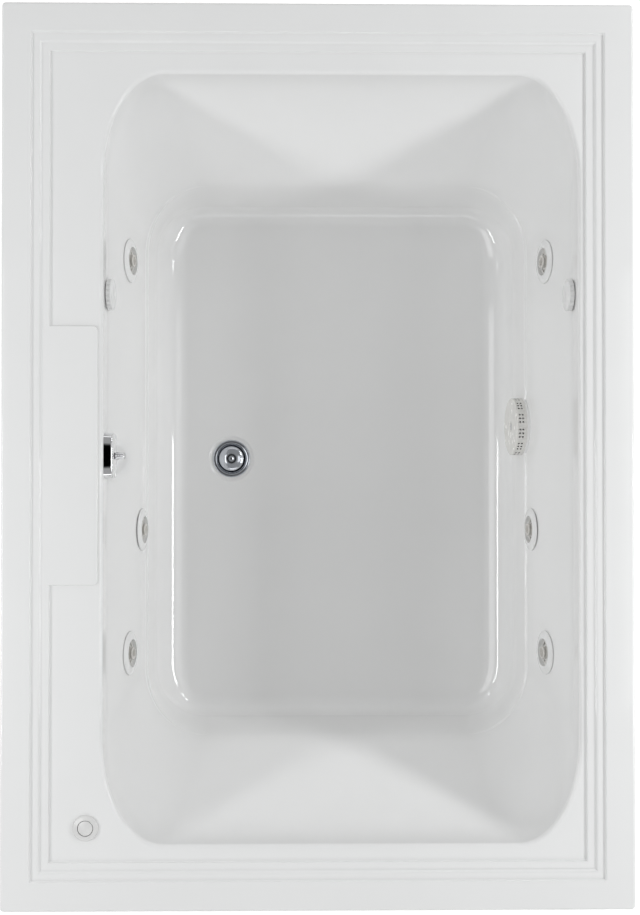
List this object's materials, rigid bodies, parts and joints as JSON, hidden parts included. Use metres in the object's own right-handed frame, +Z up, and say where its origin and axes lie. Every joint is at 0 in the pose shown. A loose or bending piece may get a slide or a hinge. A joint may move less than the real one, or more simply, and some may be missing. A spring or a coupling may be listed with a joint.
{
  "type": "jetted bathtub",
  "caption": "Drop-in rectangular jetted bath with a stepped rim, sloped backrests, swivelling jets, air controls, trip-lever pop-up waste and a recirculating pump below.",
  "frame": {"origin": "Middle of the bounding box in X and Y, on the surface that the foot pads stand on.", "axes": "+X points away from the faucet panel side, +Y points away from the pump end, +Z is up."},
  "size_m": [1.06, 1.518, 0.546],
  "materials": {
    "shell_acrylic": "glossy",
    "timber": "sawn",
    "plywood": "sanded",
    "pad_rubber": "moulded",
    "trim_white": "glossy",
    "seal_rubber": "smooth",
    "jet_grey": "satin",
    "nozzle_grey": "satin",
    "pipe_white": "moulded",
    "cover_grey": "satin",
    "chrome": "polished",
    "brass": "plain",
    "steel": "brushed",
    "clear_hose": "smooth",
    "pump_black": "moulded",
    "impeller_plastic": "moulded",
    "motor_metal": "satin"
  },
  "bodies": {
    "tub": {"tub_shell": "shell_acrylic", "rim_rails": "timber", "base_board": "plywood", "base_bearers": "timber", "foot_pads": "pad_rubber", "jet_wall_fittings": "trim_white", "jet_gaskets": "seal_rubber", "jet_bodies": "pipe_white", "air_control_bodies": "trim_white", "air_control_nuts": "pipe_white", "suction_cover": "cover_grey", "suction_screw": "steel", "suction_body": "pipe_white", "suction_nut": "pipe_white", "suction_pipe": "pipe_white", "drain_flange": "chrome", "drain_gasket": "seal_rubber", "drain_shoe": "pipe_white", "overflow_plate": "chrome", "overflow_screws": "chrome", "overflow_gasket": "seal_rubber", "overflow_elbow": "pipe_white", "overflow_tube": "pipe_white", "waste_tee": "pipe_white", "slip_nuts": "pipe_white", "switch_bezel": "trim_white", "switch_spring": "steel", "switch_nut": "pipe_white", "switch_tube": "clear_hose", "pump_volute": "pump_black", "pump_seal_plate": "pump_black", "motor_housing": "motor_metal", "motor_end_cover": "pump_black", "motor_foot": "pump_black", "control_box": "pump_black", "union_nuts": "pump_black", "water_line": "pipe_white", "air_hoses": "clear_hose"},
    "ring_left_head": {"jet_ring_left_head": "jet_grey"},
    "nozzle_left_head": {"jet_nozzle_left_head": "nozzle_grey"},
    "ring_left_middle": {"jet_ring_left_middle": "jet_grey"},
    "nozzle_left_middle": {"jet_nozzle_left_middle": "nozzle_grey"},
    "ring_left_foot": {"jet_ring_left_foot": "jet_grey"},
    "nozzle_left_foot": {"jet_nozzle_left_foot": "nozzle_grey"},
    "ring_right_head": {"jet_ring_right_head": "jet_grey"},
    "nozzle_right_head": {"jet_nozzle_right_head": "nozzle_grey"},
    "ring_right_middle": {"jet_ring_right_middle": "jet_grey"},
    "nozzle_right_middle": {"jet_nozzle_right_middle": "nozzle_grey"},
    "ring_right_foot": {"jet_ring_right_foot": "jet_grey"},
    "nozzle_right_foot": {"jet_nozzle_right_foot": "nozzle_grey"},
    "knob_left": {"air_control_knob_left": "trim_white"},
    "knob_right": {"air_control_knob_right": "trim_white"},
    "lever": {"trip_lever": "chrome"},
    "rod": {"lift_rod": "brass"},
    "rocker": {"rocker_arm": "brass"},
    "stopper": {"drain_stopper": "chrome"},
    "button": {"switch_button": "trim_white"},
    "rotor": {"motor_shaft": "steel", "pump_impeller": "impeller_plastic", "motor_fan": "impeller_plastic"}
  },
  "joints": [
    {"name": "ring_turn_left_head", "type": "hinge", "parent": "tub", "child": "ring_left_head", "pos_m": [-0.33519, 0.352, 0.351], "axis": [0.9789, 0, 0.2046], "range_deg": [0, 90]},
    {"name": "nozzle_tilt_left_head", "type": "hinge", "parent": "ring_left_head", "child": "nozzle_left_head", "pos_m": [-0.3391, 0.352, 0.35018], "axis": [0, 1, 0], "range_deg": [-15, 15]},
    {"name": "ring_turn_left_middle", "type": "hinge", "parent": "tub", "child": "ring_left_middle", "pos_m": [-0.32086, -0.1325, 0.276], "axis": [0.9895, 0, 0.1445], "range_deg": [0, 90]},
    {"name": "nozzle_tilt_left_middle", "type": "hinge", "parent": "ring_left_middle", "child": "nozzle_left_middle", "pos_m": [-0.32482, -0.1325, 0.27542], "axis": [0, 1, 0], "range_deg": [-15, 15]},
    {"name": "ring_turn_left_foot", "type": "hinge", "parent": "tub", "child": "ring_left_foot", "pos_m": [-0.33519, -0.351, 0.351], "axis": [0.9789, 0, 0.2046], "range_deg": [0, 90]},
    {"name": "nozzle_tilt_left_foot", "type": "hinge", "parent": "ring_left_foot", "child": "nozzle_left_foot", "pos_m": [-0.3391, -0.351, 0.35018], "axis": [0, 1, 0], "range_deg": [-15, 15]},
    {"name": "ring_turn_right_head", "type": "hinge", "parent": "tub", "child": "ring_right_head", "pos_m": [0.41119, 0.352, 0.351], "axis": [-0.9789, 0, 0.2046], "range_deg": [0, 90]},
    {"name": "nozzle_tilt_right_head", "type": "hinge", "parent": "ring_right_head", "child": "nozzle_right_head", "pos_m": [0.4151, 0.352, 0.35018], "axis": [0, 1, 0], "range_deg": [-15, 15]},
    {"name": "ring_turn_right_middle", "type": "hinge", "parent": "tub", "child": "ring_right_middle", "pos_m": [0.39686, -0.1325, 0.276], "axis": [-0.9895, 0, 0.1445], "range_deg": [0, 90]},
    {"name": "nozzle_tilt_right_middle", "type": "hinge", "parent": "ring_right_middle", "child": "nozzle_right_middle", "pos_m": [0.40082, -0.1325, 0.27542], "axis": [0, 1, 0], "range_deg": [-15, 15]},
    {"name": "ring_turn_right_foot", "type": "hinge", "parent": "tub", "child": "ring_right_foot", "pos_m": [0.41119, -0.351, 0.351], "axis": [-0.9789, 0, 0.2046], "range_deg": [0, 90]},
    {"name": "nozzle_tilt_right_foot", "type": "hinge", "parent": "ring_right_foot", "child": "nozzle_right_foot", "pos_m": [0.4151, -0.351, 0.35018], "axis": [0, 1, 0], "range_deg": [-15, 15]},
    {"name": "air_knob_turn_left", "type": "hinge", "parent": "tub", "child": "knob_left", "pos_m": [-0.36086, 0.276, 0.482], "axis": [0.9973, 0, 0.074], "range_deg": [0, 120]},
    {"name": "air_knob_turn_right", "type": "hinge", "parent": "tub", "child": "knob_right", "pos_m": [0.43686, 0.276, 0.482], "axis": [-0.9973, 0, 0.074], "range_deg": [0, 120]},
    {"name": "trip_lever_turn", "type": "hinge", "parent": "tub", "child": "lever", "pos_m": [-0.355, 0, 0.482], "axis": [0, 1, 0], "range_deg": [0, 24]},
    {"name": "lift_rod_slide", "type": "slide", "parent": "tub", "child": "rod", "axis": [0, 0, 1], "range_m": [0, 0.02002]},
    {"name": "rocker_turn", "type": "hinge", "parent": "tub", "child": "rocker", "pos_m": [-0.236, 0, 0.062], "axis": [0, 1, 0], "range_deg": [0, 6.91]},
    {"name": "stopper_slide", "type": "slide", "parent": "tub", "child": "stopper", "axis": [0, 0, -1], "range_m": [0, 0.0088]},
    {"name": "button_press", "type": "slide", "parent": "tub", "child": "button", "axis": [0, 0, -1], "range_m": [0, 0.005], "stiffness_N_per_m": 600, "springref_m": -0.002, "deforming": ["switch_spring"]},
    {"name": "pump_shaft_spin", "type": "hinge", "parent": "tub", "child": "rotor", "pos_m": [0.1, -0.65, 0.203], "axis": [1, 0, 0], "continuous": true}
  ],
  "couplings": [
    {"joint": "lift_rod_slide", "follows": "trip_lever_turn", "m_per_rad": 0.047699},
    {"joint": "rocker_turn", "follows": "trip_lever_turn", "ratio": 0.28752},
    {"joint": "stopper_slide", "follows": "trip_lever_turn", "m_per_rad": 0.020976}
  ]
}
